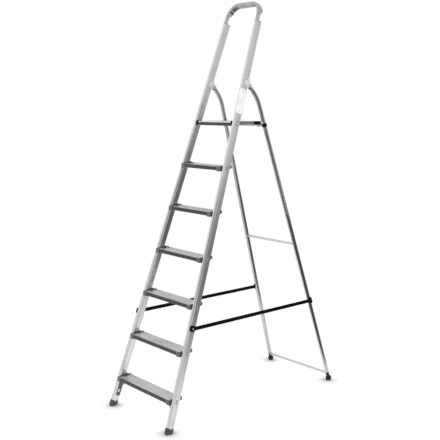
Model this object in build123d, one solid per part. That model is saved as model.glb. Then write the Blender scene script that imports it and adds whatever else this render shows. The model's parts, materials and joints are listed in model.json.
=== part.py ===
from build123d import *
from math import acos, atan, cos, radians, sin, tan
import os

# A folding aluminium platform stepladder with a grip bow above the platform.
# Millimetres. +X is the climber's right, +Y runs from the treads to the rear legs, +Z is up.
# The origin is on the floor, in the middle of the four feet.

# Stance
BASE_DEPTH = 1178.6  # from the front foot axis to the rear foot axis along the floor
FRONT_LEAN = 19.03  # stiles from upright, seen from the side
REAR_LEAN = 17.1  # rear legs from upright, seen from the side
FRONT_HALF_WIDTH = 247.8  # stile axis from the middle, at the floor
FRONT_TAPER = 3.53  # stiles from upright, seen from the front
REAR_HALF_WIDTH = 242.5  # rear leg axis from the middle, at the floor
REAR_TAPER = 3.35  # rear legs from upright, seen from the front

# Stiles: hollow extrusions, rounder at the front, with a shallow groove down both wide faces
STILE_WIDTH = 24.0
STILE_DEPTH = 40.0
STILE_FRONT_ROUND = 11.8
STILE_REAR_ROUND = 6.0
STILE_WALL = 2.8
STILE_END_WALL = 1.8
STILE_INNER_ROUNDS = (9.0, 4.0)  # of the hollow, at the front and the rear
GROOVE_WIDTH = 13.0
GROOVE_DEPTH = 1.2
STILE_FOOT = 10.0  # height of the lower ends, inside the boots
STILE_TOP = 2020.0  # height of the upper ends, under the grip bow

# Treads: ribbed extrusions with a deep front lip and a shallow rear lip
TREAD_COUNT = 6
TREAD_RISE = 224.75
FIRST_TREAD_TOP = 158.3
TREAD_DEPTH = 78.0
TREAD_AHEAD = 32.0  # front face ahead of the stile axis, at the tread's top
TREAD_LIP = 20.5
TREAD_REAR_LIP = 12.0
TREAD_SKIN = 2.0
TREAD_WEB_AT = 40.0
TREAD_WEB_DROP = 14.0
FRONT_FLANGE = 10.0
REAR_FLANGE = 8.0
RIB_COUNT = 9
RIB_WIDTH = 4.0
RIB_HEIGHT = 1.2
NOSING_DEPTH = 3.0
NOSING_MARGIN = 1.0  # of the front face left bare above and below
NOSING_ROUND = 1.4
NOSING_GAP = 1.0  # from the nosing's end to the bracket

# Tread brackets: moulded cups on the inner faces of the stiles
BRACKET_PLATE = 4.0
BRACKET_UPSTAND = 9.5
UPSTAND_REAR = 28.0  # behind the stile axis
BRACKET_SHELF = 3.5
BRACKET_REACH = 26.0  # length of tread held by the shelf and the front lip
BRACKET_TAIL = 3.0  # behind the tread
BRACKET_KERB = 3.0  # above the tread's top, behind the upstand
UPSTAND_CHAMFER = 4.0
SHELF_REAR = 8.0  # behind the stile axis
GUSSET_DROP = 104.0  # below the bottom tread's top
GUSSET_REACH = 19.0
GUSSET_WEDGE = 52.0  # foot of the wedge below the bottom tread's top
GUSSET_NOSE = 6.0  # height of the wedge's inner end
GUSSET_DEPTH = 22.0
GUSSET_BACK = 2.5  # its middle behind the stile axis
GUSSET_ROUND = 8.0
GUSSET_WINDOW_WIDTH = 16.0
GUSSET_WINDOW_HEIGHT = 19.0
GUSSET_WINDOW_ROUND = 4.0
GUSSET_WINDOW_DROP = 79.5

# Rivets
RIVET_RADIUS = 2.4
RIVET_HOLE = 2.45
RIVET_HEAD = 5.0
RIVET_HEAD_HEIGHT = 1.8
RIVET_DOME = 2.75
RIVET_TAIL = 3.6
RIVET_TAIL_HEIGHT = 1.4
TREAD_RIVET_HEIGHTS = (-4.0, -15.0)  # above the tread's top

# Front boots
BOOT_WIDTH = 28.0
BOOT_DEPTH = 44.0
BOOT_FRONT_ROUND = 13.8
BOOT_REAR_ROUND = 11.0
BOOT_TOP = 29.0  # along the stile
BOOT_SOLE_ROUND = 9.0
BOOT_NOTCH_WIDTH = 14.0
BOOT_NOTCH_DEPTH = 8.0
BOOT_CLEARANCE = 0.1
BOOT_SOLE_SLOT = 4.0
BOOT_SOLE_SLOT_DEPTH = 2.0
BOOT_SLOTS = (-5.0, 7.0)  # behind the stile axis, along the floor

# Grip bow: moulded, plugged into the stile tops
BOW_TOP = 2129.0
BOW_BAR = 20.0
BOW_DEPTH = 34.0
BOW_INSET = 1.5  # inside the stiles' outer faces
BOW_LEG = 17.5
BOW_NECK_DEPTH = 16.0  # of the legs at the front, under the corners
BOW_NECK_RISE = 34.0  # above the stile ends
BOW_NECK_SLOPE = 34.0
BOW_OUTER_ROUND = 80.0
BOW_INNER_ROUND = 58.0
BOW_EDGE = 6.0
BOW_WALL = 3.0
BOW_POCKET_DEPTH = 27.0
BOW_POCKET_FROM = 60.0  # from the middle
BOW_POCKET_RISE = 64.0  # above the stile ends
BOW_RIB = 6.0
BOW_COLLAR = 6.0  # height of the caps on the stile ends
BOW_PLUG = 28.0
BOW_PLUG_CLEARANCE = 0.15
SCREW_RADIUS = 2.0
SCREW_HOLE = 2.05
SCREW_HEAD = 4.2
SCREW_HEAD_HEIGHT = 1.8
SCREW_DROP = 14.0  # below the stile ends
SCREW_SPACING = 16.0
SCREW_TIP = 1.0  # from the stile axis

# Rear legs: round tubes that bend forward to the pivot
LEG_RADIUS = 11.0
LEG_WALL = 1.5
LEG_BEND = 205.0
LEG_FOOT = 52.0  # lower end, along the leg
LEG_END_GAP = 14.0  # from the tube's upper end to the pivot
PIVOT_HEIGHT = 1690.0
PIVOT_BACK = 32.0  # behind the stile axis, square to the stiles
PIN_RADIUS = 4.0
PIN_SEAT = 4.05
PIN_RUNNING = 4.06

# Knuckles in the upper tube ends
KNUCKLE_RADIUS = 9.0
KNUCKLE_WIDTH = 21.0
KNUCKLE_COLLAR = 3.0
KNUCKLE_NECK = 8.6
KNUCKLE_NECK_INSIDE = 16.0

# Pivot brackets: saddles over the stile backs
SADDLE_PLATE = 2.5
SADDLE_FRONT = 8.0  # ahead of the stile axis
SADDLE_EAR = 10.0
SADDLE_BELOW = 16.0  # below the pivot, along the stile
SADDLE_ABOVE = 32.0
SADDLE_WEB_FROM = 13.0
SADDLE_RIVETS = (-9.0, 23.0)  # from the pivot, along the stile
BOLT_HEAD = 7.5
BOLT_HEAD_HEIGHT = 4.5
BOLT_HEAD_GAP = 0.5
BOLT_HEAD_ROUND = 2.0
NUT_ACROSS_FLATS = 13.0
NUT_HEIGHT = 6.5
BOLT_TAIL = 2.0

# Rear feet, crossbars and rest bar
FERRULE_BALL = 16.5
FERRULE_BALL_UP = 13.0  # along the leg
FERRULE_TOP = 86.0
FERRULE_ROUND = 6.0
FERRULE_EDGE = 1.0
FERRULE_CLEARANCE = 0.1
CROSSBAR_RADIUS = 6.6
CROSSBAR_HEIGHTS = {"upper_crossbar": 829.0, "lower_crossbar": 41.5}
REST_BAR_RADIUS = 6.0
REST_BAR_HEIGHT = 1487.0
BAR_CLEARANCE = 0.05
BAR_SHORT_OF_AXIS = 3.0
COLLAR_RADIUS = 13.5
COLLAR_LENGTH = 17.0

# Platform
DECK_TOP = 1508.0
DECK_THICKNESS = 18.0
DECK_SKIN = 3.0
DECK_LIP = 5.0  # front wall below the sides
DECK_AHEAD = 13.0  # front face ahead of the hinge pins
DECK_LENGTH = 199.0
DECK_GROOVE_PITCH = 13.0
DECK_GROOVE_WIDTH = 6.0
DECK_GROOVE_DEPTH = 1.2
DECK_GROOVE_COUNT = 14
DECK_SIDE_GAP = 1.5
DECK_BOSS = 7.0
DECK_BOSS_LENGTH = 16.0
HINGE_PLATE = 5.0
# Corners of a hinge plate, behind and above the pin
HINGE_PLATE_OUTLINE = ((-20, -14), (11, -14), (17, -6), (17, 6), (11, 12.5), (-14, 12.5), (-20, 7))
HINGE_PLATE_ROUND = 3.0
HINGE_RIVETS = 8.8  # above and below the pin, along the stile
PIN_LENGTH = 24.0
PIN_SHORT_OF_STILE = 0.6
PLATFORM_NOSING_SHORT = 4.0  # at both ends
HOOK_INNER = 90.0  # from the middle
HOOK_OUTER = 116.0
HOOK_BEHIND = 13.0  # behind the rest bar's axis
HOOK_BELOW = 8.5  # below the rest bar's axis
HOOK_CLEARANCE = 0.3
HOOK_CHEEK = 2.5
HOOK_CHEEK_LENGTH = 32.0
HOOK_BELOW_TOP = 1.0
HOOK_ABOVE_FLOOR = 1.0

# Straps: flat webbing on the outer sides
STRAP_FRONT_HEIGHT = 493.0
STRAP_REAR_HEIGHT = 498.0
STRAP_WIDTH = 20.0
STRAP_THICKNESS = 2.0
STRAP_CLEARANCE = 0.3
STRAP_OFF_STILE = 2.1  # from the stile's outer face to the strap's middle
STRAP_OFF_LEG = 15.2  # from the leg axis to the strap's middle
ANCHOR_LENGTH = 34.0
ANCHOR_HEIGHT = 31.0
ANCHOR_THICKNESS = 4.8
ANCHOR_AHEAD = 3.0  # its middle ahead of the stile axis
ANCHOR_ROUND = 9.0
ANCHOR_EDGE = 1.5
STRAP_PAST_RIVET = 5.0
CLIP_INNER = 6.0  # from the leg axis
CLIP_OUTER = 19.0
CLIP_WIDTH = 17.0
CLIP_HEIGHT = 34.0
CLIP_ROUND = 5.0
CLIP_EDGE = 2.0
CLIP_STUD = 4.0
CLIP_STUD_CLEARANCE = 0.05
CLIP_STUD_INSIDE = 2.0

FAR = 400.0  # longer than half of any width, for cuts

lean = radians(FRONT_LEAN)
frame_taper = atan(tan(radians(FRONT_TAPER)) * cos(lean))
rear_taper = radians(REAR_TAPER)
leg_slope = atan(tan(radians(REAR_LEAN)) * cos(rear_taper))

# The boots reach further from their axes than the rear feet, so both frames stand a little back.
BOOT_REACH = BOOT_DEPTH / 2 / cos(lean) - BOOT_SOLE_ROUND * ((1 + sin(lean)) / cos(lean) - 1)
FERRULE_REACH = FERRULE_BALL - FERRULE_BALL_UP * sin(leg_slope)
FOOT_OFFSET = (BOOT_REACH - FERRULE_REACH) / 2
FRONT_Y = -BASE_DEPTH / 2 + FOOT_OFFSET
REAR_Y = BASE_DEPTH / 2 + FOOT_OFFSET

# The plane of the front frame: its x runs across, its y up the frame, its z to the front.
FRONT = Plane(origin=(0, FRONT_Y, 0), x_dir=(1, 0, 0), z_dir=(0, -cos(lean), sin(lean)))

# The right stile: its x runs outwards, its y to the rear, its z up the stile.
STILE = Plane(
    origin=FRONT.from_local_coords((FRONT_HALF_WIDTH, 0, 0)),
    x_dir=FRONT.x_dir * cos(frame_taper) + FRONT.y_dir * sin(frame_taper),
    z_dir=FRONT.y_dir * cos(frame_taper) - FRONT.x_dir * sin(frame_taper),
)

# The plane of the right rear leg: its x runs to the rear, its y up, its z outwards.
LEG = Plane(
    origin=(REAR_HALF_WIDTH, 0, 0),
    x_dir=(0, 1, 0),
    z_dir=(cos(rear_taper), 0, sin(rear_taper)),
)

# Up the right rear leg from the floor.
LEG_UP = LEG.y_dir * cos(leg_slope) - LEG.x_dir * sin(leg_slope)
LEG_AXIS = Plane(origin=(REAR_HALF_WIDTH, REAR_Y, 0), x_dir=LEG.z_dir, z_dir=LEG_UP)


def up_stile(height):
    """Distance up a stile at which its axis reaches a height."""
    return height / STILE.z_dir.Z


def stile_point(height):
    """The right stile's axis at a height."""
    return STILE.from_local_coords((0, 0, up_stile(height)))


def leg_point(height):
    """The right leg's straight axis at a height."""
    return LEG_AXIS.from_local_coords((0, 0, height / LEG_UP.Z))


PIVOT_UP = (PIVOT_HEIGHT + PIVOT_BACK * sin(lean)) / cos(lean)
PIVOT = FRONT.from_local_coords((0, PIVOT_UP, -PIVOT_BACK))
PIVOT_X = leg_point(PIVOT_HEIGHT).X
HINGE_HEIGHT = DECK_TOP - DECK_THICKNESS / 2
HINGE = stile_point(HINGE_HEIGHT)
REST_BAR = leg_point(REST_BAR_HEIGHT)
BOW_BASE = STILE_TOP / cos(lean)


def mirrored(piece):
    """The same piece on the left."""
    return mirror(piece, about=Plane.YZ)


def box(x, y, z):
    """A box from its low and high limits along each axis."""
    size = Box(x[1] - x[0], y[1] - y[0], z[1] - z[0])
    return Pos((x[0] + x[1]) / 2, (y[0] + y[1]) / 2, (z[0] + z[1]) / 2) * size


def rectangle(x, y):
    """A rectangle from its low and high limits."""
    return Pos((x[0] + x[1]) / 2, (y[0] + y[1]) / 2) * Rectangle(x[1] - x[0], y[1] - y[0])


def polygon(*points):
    """A face with straight edges through the points."""
    return make_face(Polyline(*points, close=True))


def on_stile(piece):
    """Places a piece drawn in the right stile's own axes."""
    return STILE.location * piece


def stile_rod(radius, out, back, up):
    """A rod across the right stile between two distances out from its axis."""
    rod = Cylinder(radius, out[1] - out[0], rotation=(0, 90, 0))
    return on_stile(Pos((out[0] + out[1]) / 2, back, up) * rod)


def cross_rod(radius, x, y, z):
    """A rod along X between two limits."""
    return Pos((x[0] + x[1]) / 2, y, z) * Cylinder(radius, x[1] - x[0], rotation=(0, 90, 0))


def side_extrusion(profile, half_width):
    """A profile drawn in Y and Z, carried along X to both sides."""
    return extrude(Plane.YZ * profile, amount=half_width, both=True)


def stile_face(offset):
    """The plane of the right stile's inner face moved inwards, facing outwards."""
    corner = STILE.from_local_coords((-STILE_WIDTH / 2 - offset, 0, 0))
    return Plane(origin=corner, x_dir=STILE.z_dir, z_dir=STILE.x_dir)


def inside_stiles(piece, offset):
    """Trims a piece on both sides to a distance from the stiles' inner faces."""
    right = stile_face(offset)
    left = Plane(
        origin=(-right.origin.X, right.origin.Y, right.origin.Z),
        z_dir=(-right.z_dir.X, right.z_dir.Y, right.z_dir.Z),
    )
    piece = split(piece, bisect_by=right, keep=Keep.BOTTOM)
    return split(piece, bisect_by=left, keep=Keep.BOTTOM)


def beside_stile(profile, reach):
    """A profile drawn in Y and Z, carried inwards from the right stile's inner face."""
    piece = extrude(Plane.YZ * profile, amount=FAR)
    piece = split(piece, bisect_by=stile_face(0), keep=Keep.BOTTOM)
    return split(piece, bisect_by=stile_face(reach), keep=Keep.TOP)


def tread_top(number):
    """Height of a tread's top, counted from 1."""
    return FIRST_TREAD_TOP + (number - 1) * TREAD_RISE


def flush_rivet(up, back, outer, inner):
    """A rivet across the right stile with a domed head outside and no tail."""
    shank = stile_rod(RIVET_RADIUS, (-inner, outer), back, up)
    dome = Cone(RIVET_HEAD, RIVET_DOME, RIVET_HEAD_HEIGHT, rotation=(0, 90, 0))
    return shank + on_stile(Pos(outer + RIVET_HEAD_HEIGHT / 2, back, up) * dome)


def rivet(up, back, outer, inner):
    """A rivet through the right stile: a domed head outside and a flat tail inside."""
    tail = stile_rod(RIVET_TAIL, (-inner - RIVET_TAIL_HEIGHT, -inner), back, up)
    return flush_rivet(up, back, outer, inner) + tail


def rivet_hole(up, back):
    """The hole for a rivet, through everything on the stile's axis."""
    return stile_rod(RIVET_HOLE, (-STILE_WIDTH, STILE_WIDTH), back, up)


def tread_rivet_places():
    """Distances up the stile of the rivets at the treads."""
    tops = [tread_top(number) for number in range(1, TREAD_COUNT + 1)]
    return [up_stile(top + offset) for top in tops for offset in TREAD_RIVET_HEIGHTS]


def hinge_rivet_places():
    """Distances up the stile of the rivets in a hinge plate, above and below the pin."""
    middle = up_stile(HINGE_HEIGHT)
    return [middle - HINGE_RIVETS, middle + HINGE_RIVETS]


def saddle_rivet_places():
    """Distances up the stile of the rivets in a pivot bracket."""
    pivot = STILE.to_local_coords(Vector(PIVOT_X, PIVOT.Y, PIVOT.Z)).Z
    return [pivot + offset for offset in SADDLE_RIVETS]


def strap_rivet_place():
    """Distance up the stile of the strap's rivet."""
    return up_stile(STRAP_FRONT_HEIGHT)


def stile_block(width, depth, front, rear):
    """A rectangle across the stile with its own roundings at the front and the rear."""
    block = Rectangle(width, depth)
    block = fillet(block.vertices().group_by(Axis.Y)[0], front)
    return fillet(block.vertices().group_by(Axis.Y)[-1], rear)


def stile_outline():
    """The stile's outer section."""
    outline = stile_block(STILE_WIDTH, STILE_DEPTH, STILE_FRONT_ROUND, STILE_REAR_ROUND)
    groove = Rectangle(2 * GROOVE_DEPTH, GROOVE_WIDTH)
    for side in (-1, 1):
        outline -= Pos(side * STILE_WIDTH / 2, 0) * groove
    return outline


def stile_cavity(clearance):
    """The stile's hollow, less a clearance all round."""
    width = STILE_WIDTH - 2 * (STILE_WALL + clearance)
    depth = STILE_DEPTH - 2 * (STILE_END_WALL + clearance)
    return stile_block(width, depth, *STILE_INNER_ROUNDS)


def stile_end():
    """The plane in which both stiles end at the top."""
    return Plane(origin=FRONT.from_local_coords((0, BOW_BASE, 0)), z_dir=FRONT.y_dir)


def make_stile():
    """The right stile."""
    length = up_stile(STILE_TOP) + STILE_WIDTH
    stile = on_stile(extrude(stile_outline() - stile_cavity(0), amount=length))
    stile = split(stile, bisect_by=stile_end(), keep=Keep.BOTTOM)
    stile = split(stile, bisect_by=Plane.XY.offset(STILE_FOOT), keep=Keep.TOP)
    for up in tread_rivet_places() + hinge_rivet_places() + saddle_rivet_places():
        stile -= rivet_hole(up, 0)
    stile -= stile_rod(RIVET_HOLE, (0, STILE_WIDTH), 0, strap_rivet_place())
    for back in (-SCREW_SPACING / 2, SCREW_SPACING / 2):
        stile -= stile_rod(SCREW_HOLE, (0, STILE_WIDTH), back, up_stile(STILE_TOP) - SCREW_DROP)
    return stile


def tread_profile():
    """A tread's section, from the front corner of its top."""
    skin = -RIB_HEIGHT - TREAD_SKIN
    profile = rectangle((0, TREAD_DEPTH), (skin, -RIB_HEIGHT))
    profile += rectangle((0, TREAD_SKIN), (-TREAD_LIP, 0))
    profile += rectangle((0, FRONT_FLANGE), (-TREAD_LIP, -TREAD_LIP + TREAD_SKIN))
    profile += rectangle((TREAD_DEPTH - TREAD_SKIN, TREAD_DEPTH), (-TREAD_REAR_LIP, 0))
    flange = (-TREAD_REAR_LIP, -TREAD_REAR_LIP + TREAD_SKIN)
    profile += rectangle((TREAD_DEPTH - REAR_FLANGE, TREAD_DEPTH), flange)
    profile += rectangle((TREAD_WEB_AT, TREAD_WEB_AT + TREAD_SKIN), (-TREAD_WEB_DROP, skin))
    pitch = (TREAD_DEPTH - RIB_WIDTH) / (RIB_COUNT - 1)
    for rib in range(RIB_COUNT):
        profile += rectangle((rib * pitch, rib * pitch + RIB_WIDTH), (-RIB_HEIGHT, 0))
    return profile


def nosing_profile(face):
    """The dark strip's section on a front face of a height at y = 0, from the top down."""
    strip = rectangle((-NOSING_DEPTH, 0), (NOSING_MARGIN - face, -NOSING_MARGIN))
    return fillet(strip.vertices().group_by(Axis.X)[0], NOSING_ROUND)


def tread_corner(number):
    """The place of a tread's front corner in Y and Z."""
    top = tread_top(number)
    return Pos(stile_point(top).Y - TREAD_AHEAD, top)


def make_tread(number):
    """One tread, cut to fit between its two brackets."""
    tread = side_extrusion(tread_corner(number) * tread_profile(), FAR)
    return inside_stiles(tread, BRACKET_PLATE)


def make_nosing(number):
    """The strip on one tread's front, between the brackets' front lips."""
    half = stile_point(tread_top(number)).X - STILE_WIDTH / 2 - BRACKET_REACH - NOSING_GAP
    return side_extrusion(tread_corner(number) * nosing_profile(TREAD_LIP), half)


def make_gusset():
    """The plate and wedge below a bottom bracket, with a window low in the plate."""
    top = up_stile(FIRST_TREAD_TOP)
    low = up_stile(FIRST_TREAD_TOP - GUSSET_DROP)
    toe = up_stile(FIRST_TREAD_TOP - GUSSET_WEDGE)
    face = -STILE_WIDTH / 2
    tip = face - GUSSET_REACH
    nose = top - TREAD_LIP - GUSSET_NOSE
    inner = face - BRACKET_PLATE
    wedge = polygon((face, toe), (inner, toe), (tip, nose), (tip, top), (face, top))
    wedge = extrude(Plane.XZ.offset(-GUSSET_DEPTH / 2) * wedge, amount=GUSSET_DEPTH)
    wedge = Pos(0, GUSSET_BACK, 0) * wedge
    half = GUSSET_DEPTH / 2
    plate = rectangle((GUSSET_BACK - half, GUSSET_BACK + half), (low, top))
    plate = fillet(plate.vertices().group_by(Axis.Y)[0], GUSSET_ROUND)
    window = up_stile(FIRST_TREAD_TOP - GUSSET_WINDOW_DROP)
    opening = RectangleRounded(GUSSET_WINDOW_WIDTH, GUSSET_WINDOW_HEIGHT, GUSSET_WINDOW_ROUND)
    plate -= Pos(GUSSET_BACK, window) * opening
    plate = extrude(Plane.YZ.offset(inner) * plate, amount=BRACKET_PLATE)
    below_tread = Plane.XY.offset(FIRST_TREAD_TOP - TREAD_LIP - BRACKET_SHELF / 2)
    return split(on_stile(wedge + plate), bisect_by=below_tread, keep=Keep.BOTTOM)


def make_bracket(number):
    """The right bracket of one tread: a plate that rises to the rear, a shelf and a front lip."""
    front = -TREAD_AHEAD - NOSING_DEPTH
    rear = TREAD_DEPTH - TREAD_AHEAD
    floor = -TREAD_LIP - BRACKET_SHELF
    top = tread_top(number)
    place = Pos(stile_point(top).Y, top)
    plate = polygon(
        (front, floor),
        (SHELF_REAR, floor),
        (rear + BRACKET_TAIL, -TREAD_REAR_LIP),
        (rear + BRACKET_TAIL, BRACKET_KERB),
        (UPSTAND_REAR + UPSTAND_CHAMFER, BRACKET_KERB),
        (UPSTAND_REAR, BRACKET_UPSTAND),
        (front, 0),
    )
    shelf = rectangle((front, SHELF_REAR), (floor, -TREAD_LIP))
    shelf += rectangle((front, -TREAD_AHEAD), (floor, 0))
    bracket = beside_stile(place * plate, BRACKET_PLATE)
    bracket += beside_stile(place * shelf, BRACKET_REACH)
    if number == 1:
        bracket += make_gusset()
    for offset in TREAD_RIVET_HEIGHTS:
        seat = -STILE_WIDTH / 2 - BRACKET_PLATE
        bracket -= stile_rod(RIVET_HOLE, (seat, 0), 0, up_stile(top + offset))
    return bracket


def make_tread_rivets():
    """The rivets of the right brackets and hinge plate."""
    outer = STILE_WIDTH / 2
    treads = [flush_rivet(up, 0, outer, outer + BRACKET_PLATE) for up in tread_rivet_places()]
    hinges = [flush_rivet(up, 0, outer, outer + HINGE_PLATE) for up in hinge_rivet_places()]
    return treads + hinges


def make_boot():
    """The right front boot, with notches over the wide faces and slots in the sole."""
    blank = stile_block(BOOT_WIDTH, BOOT_DEPTH, BOOT_FRONT_ROUND, BOOT_REAR_ROUND)
    blank = extrude(blank, amount=2 * BOOT_TOP)
    boot = split(on_stile(Pos(0, 0, -BOOT_TOP) * blank), bisect_by=Plane.XY, keep=Keep.TOP)
    boot = fillet(boot.edges().group_by(Axis.Z)[0], BOOT_SOLE_ROUND)
    notch = Cylinder(BOOT_NOTCH_WIDTH / 2, FAR, rotation=(0, 90, 0))
    notch += Pos(0, 0, BOOT_NOTCH_DEPTH) * Box(FAR, BOOT_NOTCH_WIDTH, 2 * BOOT_NOTCH_DEPTH)
    boot -= on_stile(Pos(0, 0, BOOT_TOP - BOOT_NOTCH_DEPTH + BOOT_NOTCH_WIDTH / 2) * notch)
    clear = 2 * BOOT_CLEARANCE
    socket = stile_block(STILE_WIDTH + clear, STILE_DEPTH + clear, STILE_FRONT_ROUND, STILE_REAR_ROUND)
    socket = on_stile(Pos(0, 0, -BOOT_TOP) * extrude(socket, amount=3 * BOOT_TOP))
    boot -= split(socket, bisect_by=Plane.XY.offset(STILE_FOOT), keep=Keep.TOP)
    for back in BOOT_SLOTS:
        slot = Box(FAR, BOOT_SOLE_SLOT, 2 * BOOT_SOLE_SLOT_DEPTH)
        boot -= Pos(FRONT_HALF_WIDTH, FRONT_Y + back, 0) * slot
    return boot


def bow_fill(inset, rounding, rise):
    """The bow's outline as a filled arch, moved in from the stiles' outer faces."""
    base = stile_point(STILE_TOP).X + (STILE_WIDTH / 2 - inset) / cos(frame_taper)
    head = base - rise * tan(frame_taper)
    low, high = BOW_BASE, BOW_BASE + rise
    points = [(base, low), (head, high), (-head, high), (-base, low)]
    edges = FilletPolyline(*points, radius=rounding) + Line(points[-1], points[0])
    return make_face(edges)


def bow_neck():
    """The cut behind the bow's legs, which leaves their front part between the caps and the corners."""
    low, high = BOW_BASE + BOW_COLLAR, BOW_BASE + BOW_NECK_RISE
    kept = BOW_DEPTH / 2 - BOW_NECK_DEPTH
    rear = -BOW_DEPTH / 2
    top = high + BOW_NECK_SLOPE
    blend = Spline((high, kept), (top, rear), tangents=((1, 0), (1, 0)))
    side = make_face(Polyline((top, rear), (low, rear), (low, kept), (high, kept)) + blend)
    return extrude(Plane.YZ * side, amount=FAR, both=True)


def make_bow():
    """The grip bow with its plugs, pocketed under both corners."""
    rise = BOW_TOP / cos(lean) - BOW_BASE
    arch = bow_fill(BOW_INSET, BOW_OUTER_ROUND, rise)
    arch -= bow_fill(BOW_INSET + BOW_LEG, BOW_INNER_ROUND, rise - BOW_BAR)
    bow = extrude(arch, amount=BOW_DEPTH / 2, both=True)
    faces = bow.edges().group_by(Axis.Z)
    edges = [edge for edge in faces[0] + faces[-1] if edge.center().Y > BOW_BASE + 1]
    bow = fillet(edges, BOW_EDGE) - bow_neck()
    cavity = bow_fill(BOW_INSET + BOW_WALL, BOW_OUTER_ROUND - BOW_WALL, rise - BOW_WALL)
    corner = rectangle((BOW_POCKET_FROM, FAR), (BOW_BASE + BOW_POCKET_RISE, BOW_BASE + FAR))
    bend_out = stile_point(STILE_TOP).X + STILE_WIDTH / 2 - BOW_OUTER_ROUND
    bend_up = BOW_BASE + rise - BOW_OUTER_ROUND
    corner -= Pos(bend_out, bend_up) * Rot(0, 0, 45) * Rectangle(FAR, BOW_RIB)
    for pocket in (corner, mirror(corner, about=Plane.YZ)):
        bow -= extrude(cavity & pocket, amount=BOW_POCKET_DEPTH / 2, both=True)
    bow = FRONT.location * bow
    end = up_stile(STILE_TOP)
    plug = extrude(stile_cavity(BOW_PLUG_CLEARANCE), amount=BOW_PLUG + BOW_COLLAR / 2)
    plug = on_stile(Pos(0, 0, end - BOW_PLUG) * plug)
    cap = stile_block(STILE_WIDTH, STILE_DEPTH, STILE_FRONT_ROUND, STILE_REAR_ROUND)
    cap = extrude(cap, amount=BOW_COLLAR + STILE_WIDTH)
    cap = on_stile(Pos(0, 0, end - STILE_WIDTH) * cap)
    plug += split(cap, bisect_by=stile_end(), keep=Keep.TOP)
    for back in (-SCREW_SPACING / 2, SCREW_SPACING / 2):
        plug -= stile_rod(SCREW_HOLE, (0, STILE_WIDTH), back, end - SCREW_DROP)
    return bow + plug + mirrored(plug)


def make_bow_screws():
    """The two screws through the right stile into the bow's plug."""
    outer = STILE_WIDTH / 2
    up = up_stile(STILE_TOP) - SCREW_DROP
    screws = []
    for back in (-SCREW_SPACING / 2, SCREW_SPACING / 2):
        shank = stile_rod(SCREW_RADIUS, (SCREW_TIP, outer), back, up)
        screws.append(shank + stile_rod(SCREW_HEAD, (outer, outer + SCREW_HEAD_HEIGHT), back, up))
    return screws


def saddle_profile():
    """A pivot bracket's side plate: across is to the rear, up is along the stile from the pivot."""
    plate = rectangle((-SADDLE_FRONT, STILE_DEPTH / 2 + SADDLE_PLATE), (-SADDLE_BELOW, SADDLE_ABOVE))
    tips = (PIVOT_BACK, -SADDLE_EAR), (PIVOT_BACK, SADDLE_EAR)
    ear = polygon((0, -SADDLE_BELOW), *tips, (0, SADDLE_ABOVE))
    return plate + ear + Pos(PIVOT_BACK, 0) * Circle(SADDLE_EAR)


def make_pivot_bracket():
    """The right pivot bracket: two side plates with ears, joined by a web behind the stile."""
    pivot = STILE.to_local_coords(Vector(PIVOT_X, PIVOT.Y, PIVOT.Z)).Z
    inner = STILE_WIDTH / 2
    plate = extrude(Plane.YZ * saddle_profile(), amount=SADDLE_PLATE)
    saddle = Pos(inner, 0, 0) * plate + Pos(-inner - SADDLE_PLATE, 0, 0) * plate
    across = (-inner - SADDLE_PLATE, inner + SADDLE_PLATE)
    back = (STILE_DEPTH / 2, STILE_DEPTH / 2 + SADDLE_PLATE)
    saddle += box(across, back, (SADDLE_WEB_FROM, SADDLE_ABOVE))
    saddle = on_stile(Pos(0, 0, pivot) * saddle)
    saddle -= cross_rod(PIN_SEAT, (0, FAR), PIVOT.Y, PIVOT.Z)
    for up in saddle_rivet_places():
        saddle -= rivet_hole(up, 0)
    return saddle


def make_saddle_rivets():
    """The rivets of the right pivot bracket."""
    face = STILE_WIDTH / 2 + SADDLE_PLATE
    return [rivet(up, 0, face, face) for up in saddle_rivet_places()]


def bolt_seats():
    """X of the nut's and the bolt head's bearing faces on the right pivot bracket."""
    middle = STILE.from_local_coords((0, 0, saddle_rivet_places()[0] - SADDLE_RIVETS[0])).X
    half = (STILE_WIDTH / 2 + SADDLE_PLATE) / cos(frame_taper) + BOLT_HEAD_GAP
    return middle - half, middle + half


def make_pivot_bolt():
    """The right hinge bolt with its round head outside."""
    inner, outer = bolt_seats()
    shank = cross_rod(PIN_RADIUS, (inner - NUT_HEIGHT - BOLT_TAIL, outer), PIVOT.Y, PIVOT.Z)
    head = cross_rod(BOLT_HEAD, (outer, outer + BOLT_HEAD_HEIGHT), PIVOT.Y, PIVOT.Z)
    return shank + fillet(head.edges().group_by(Axis.X)[-1], BOLT_HEAD_ROUND)


def make_pivot_nut():
    """The right hinge bolt's nut, on the inner side."""
    inner = bolt_seats()[0]
    hexagon = RegularPolygon(NUT_ACROSS_FLATS / 2, 6, major_radius=False) - Circle(PIN_SEAT)
    nut = extrude(Plane.YZ * hexagon, amount=NUT_HEIGHT)
    return Pos(inner - NUT_HEIGHT, PIVOT.Y, PIVOT.Z) * nut


def leg_bend():
    """The leg's route in its own plane: foot, the bend's start, middle, end and end direction."""
    foot = Vector(REAR_Y, 0)
    up = Vector(-sin(leg_slope), cos(leg_slope))
    ahead = Vector(-cos(leg_slope), -sin(leg_slope))
    pivot = Vector(PIVOT.Y, PIVOT.Z / cos(rear_taper)) - foot
    turn = acos(1 - pivot.dot(ahead) / LEG_BEND)
    start = foot + up * (pivot.dot(up) - LEG_BEND * sin(turn))
    stop = turn - LEG_END_GAP / LEG_BEND

    def bend_point(angle):
        return start + up * (LEG_BEND * sin(angle)) + ahead * (LEG_BEND * (1 - cos(angle)))

    direction = up * cos(stop) + ahead * sin(stop)
    return foot + up * LEG_FOOT, start, bend_point(stop / 2), bend_point(stop), direction


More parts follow.
